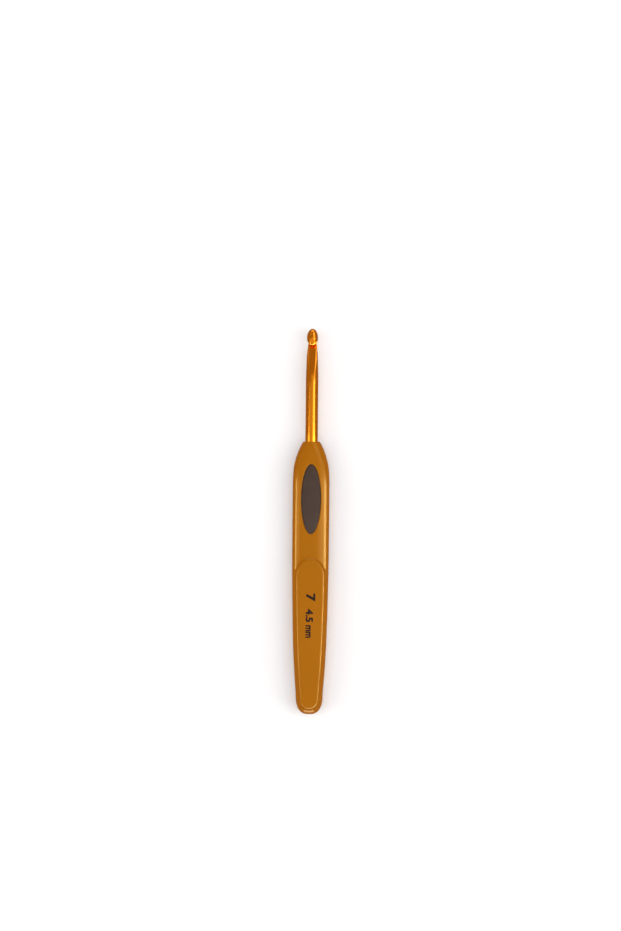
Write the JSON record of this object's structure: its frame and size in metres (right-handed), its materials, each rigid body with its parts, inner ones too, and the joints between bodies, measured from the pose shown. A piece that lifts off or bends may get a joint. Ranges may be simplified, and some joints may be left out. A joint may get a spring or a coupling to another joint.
{
  "type": "crochet hook",
  "caption": "Crochet hook: an anodised metal rod with a throat and pointed head, in a flat moulded handle with rubber finger rests and raised flat faces near the tail.",
  "frame": {"origin": "under the middle of the object's length and width, on the plane of the back label face, which the hook lies on", "axes": "+Y along the length from the handle's tail to the hook's tip, +Z out of the front face with the thumb pad and the throat, +X to the right of that face with the hook up"},
  "size_m": [0.0134, 0.14, 0.0098],
  "materials": {
    "anodised_rod": "drawn rod, bright gold-orange anodising",
    "handle_plastic": "caramel ABS, semi-gloss, with the size printed in dark ink on the front label face",
    "pad_rubber": "matt dark brown-grey elastomer"
  },
  "bodies": {
    "root": {"hook_shaft": "anodised_rod", "handle_body": "handle_plastic", "thumb_pad": "pad_rubber", "finger_pad": "pad_rubber"}
  },
  "joints": []
}
